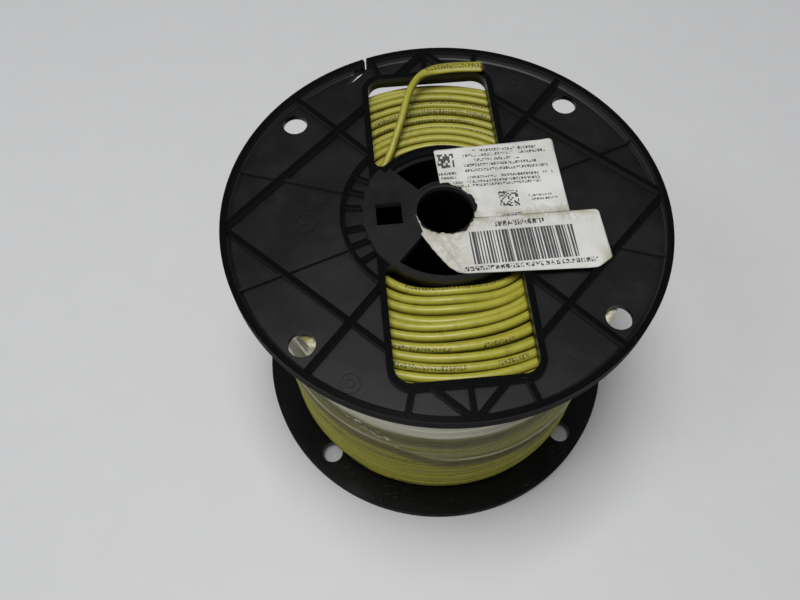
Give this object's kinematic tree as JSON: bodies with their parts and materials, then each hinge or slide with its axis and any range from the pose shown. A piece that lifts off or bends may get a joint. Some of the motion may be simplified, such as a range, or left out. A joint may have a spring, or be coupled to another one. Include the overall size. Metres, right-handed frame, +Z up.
{
  "type": "wire spool",
  "caption": "Round two-flange plastic spool wound with insulated stranded wire, with a bore for a spindle, windows beside the hub and tie holes near the rims.",
  "frame": {"origin": "centre of the lower flange's outer face, where the spool stands, on the bore's axis", "axes": "+Z up along the bore, from the lower flange to the labelled upper flange; +Y from the bore to the upper window that the wire's free end comes out of; +X to the right of it seen from above"},
  "size_m": [0.165, 0.165, 0.1309],
  "materials": {
    "spool_plastic": "black moulded polystyrene, satin",
    "wire_jacket": "yellow nylon-covered insulation",
    "copper": null,
    "clear_film": "clear stretch film",
    "label_paper": null
  },
  "bodies": {
    "root": {"upper_flange": "spool_plastic", "lower_flange": "spool_plastic", "drum_tube": "spool_plastic", "arbor_tube": "spool_plastic", "winding_core": "wire_jacket", "end_turns": "wire_jacket", "wire_tail": "wire_jacket", "copper_strands": "copper", "stretch_film": "clear_film", "specification_label": "label_paper", "barcode_label": "label_paper"}
  },
  "joints": []
}
